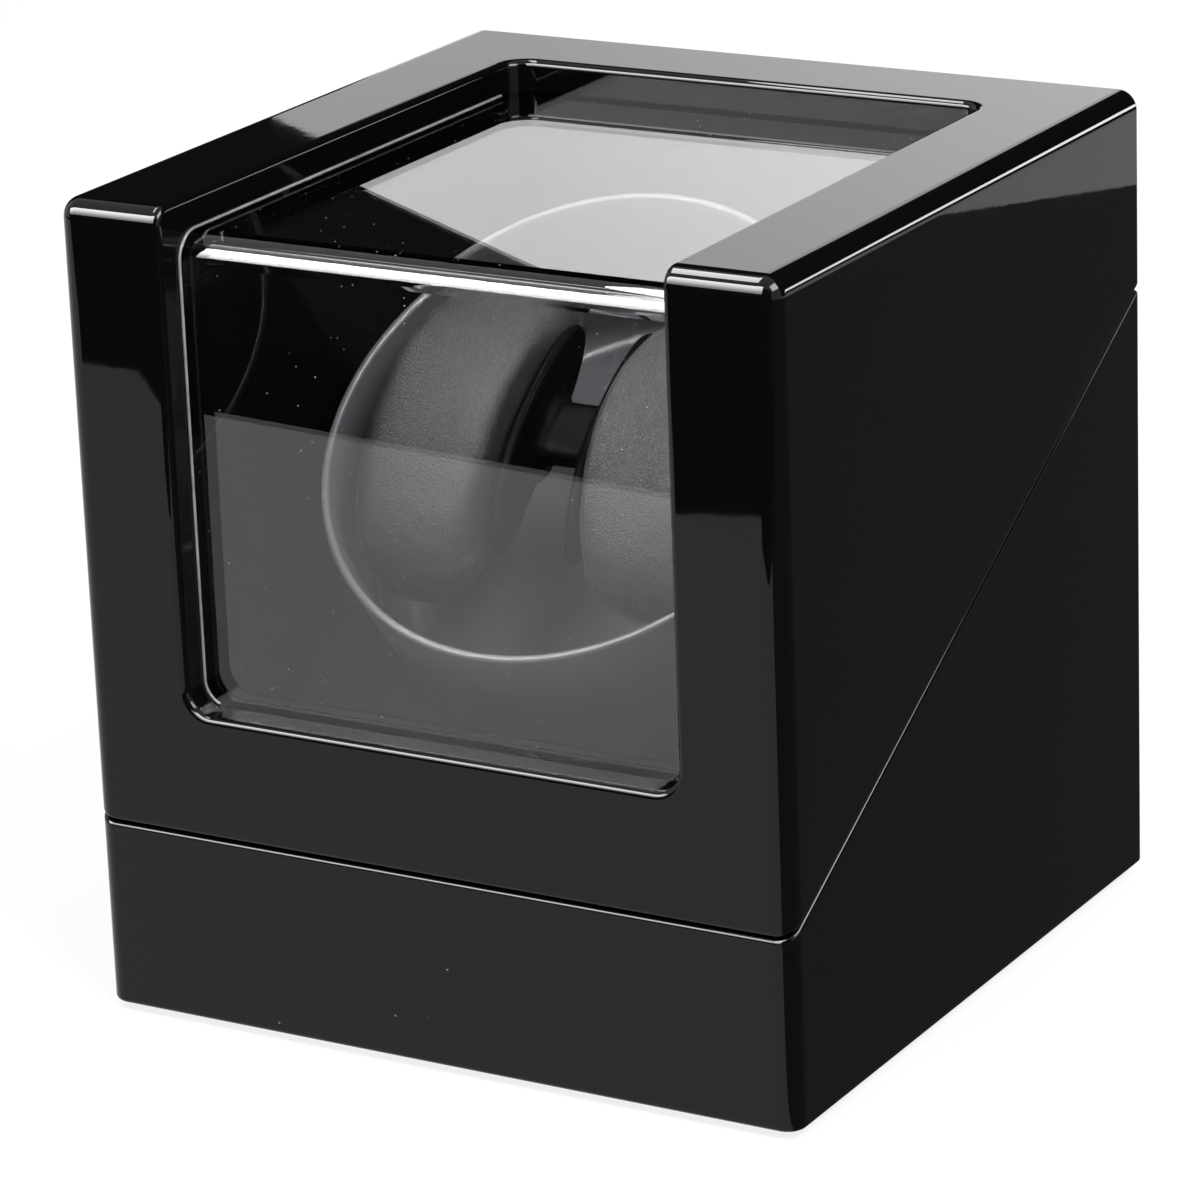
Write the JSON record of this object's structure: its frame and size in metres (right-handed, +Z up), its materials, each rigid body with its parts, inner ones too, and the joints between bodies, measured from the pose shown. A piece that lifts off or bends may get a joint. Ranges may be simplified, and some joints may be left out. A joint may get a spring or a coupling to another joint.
{
  "type": "watch winder",
  "caption": "Box-shaped watch winder with a slant-cut hinged lid, a bent clear window over front and top, and a tilted motor-driven cup that holds a leather watch cushion.",
  "frame": {"origin": "middle of the footprint, on the surface that the feet stand on", "axes": "+Z up, the window faces -Y, +X is the right side seen from the front"},
  "size_m": [0.15, 0.1578, 0.161],
  "materials": {
    "lacquer": "high gloss black lacquer over board",
    "clear_sheet": "clear polished acrylic",
    "cup_plastic": "gloss black",
    "bridge_plastic": "moulded gloss black",
    "leather": "soft grained black leather, satin",
    "hinge_metal": "polished nickel",
    "screw_steel": "plated",
    "shaft_steel": "ground",
    "panel_board": "matt black board",
    "bush_brass": "turned",
    "gear_plastic": "moulded",
    "plate_metal": "satin",
    "motor_metal": "plated",
    "lead_cover": "satin",
    "control_plastic": "satin black",
    "nut_metal": "plated",
    "circuit_board": "solder mask",
    "feet_rubber": "matt"
  },
  "bodies": {
    "base": {"base_case": "lacquer", "base_hinge_leaf_left": "hinge_metal", "base_hinge_leaf_right": "hinge_metal", "base_hinge_screws": "screw_steel", "board_parts": "control_plastic", "bottom_panel": "panel_board", "bottom_panel_screws": "screw_steel", "control_board": "circuit_board", "deck_cleats": "panel_board", "deck_panel": "panel_board", "deck_screws": "screw_steel", "drive_plate": "plate_metal", "hinge_pins": "hinge_metal", "lower_bush": "bush_brass", "mode_switch": "control_plastic", "motor_can": "motor_metal", "motor_head": "motor_metal", "motor_leads": "lead_cover", "motor_screws": "screw_steel", "motor_terminals": "shaft_steel", "pillar_screws": "screw_steel", "plate_pillars": "plate_metal", "plate_screws": "screw_steel", "rubber_feet": "feet_rubber", "socket_nut": "control_plastic", "supply_socket": "control_plastic", "switch_nut": "nut_metal", "upper_bush": "bush_brass"},
    "lid": {"lid_shell": "lacquer", "window_sheet": "clear_sheet", "lid_hinge_leaf_left": "hinge_metal", "lid_hinge_leaf_right": "hinge_metal", "lid_hinge_screws": "screw_steel"},
    "rotor": {"rotor_cup": "cup_plastic", "rotor_shaft": "shaft_steel", "driven_gear": "gear_plastic", "shaft_clip": "shaft_steel"},
    "pinion": {"motor_pinion": "gear_plastic", "motor_shaft": "shaft_steel"},
    "cushion": {"cushion_bridge": "bridge_plastic", "cushion_roll_left": "leather", "cushion_roll_right": "leather"},
    "knob": {"mode_knob": "control_plastic", "switch_stem": "shaft_steel"}
  },
  "joints": [
    {"name": "lid_hinge", "type": "hinge", "parent": "base", "child": "lid", "pos_m": [0, 0.07265, 0.122], "axis": [-1, 0, 0], "range_deg": [0, 95]},
    {"name": "rotor_spin", "type": "hinge", "parent": "base", "child": "rotor", "pos_m": [0, -0.01995, 0.1097], "axis": [0, -0.6428, 0.766], "continuous": true},
    {"name": "pinion_spin", "type": "hinge", "parent": "base", "child": "pinion", "pos_m": [0.03, -0.01995, 0.1097], "axis": [0, -0.6428, 0.766], "continuous": true},
    {"name": "cushion_lift", "type": "slide", "parent": "rotor", "child": "cushion", "axis": [0, -0.6428, 0.766], "range_m": [0, 0.01]},
    {"name": "mode_knob_turn", "type": "hinge", "parent": "base", "child": "knob", "pos_m": [-0.014, 0.07015, 0.0315], "axis": [0, 1, 0], "range_deg": [-60, 60]}
  ],
  "couplings": [
    {"joint": "pinion_spin", "follows": "rotor_spin", "ratio": -4}
  ]
}
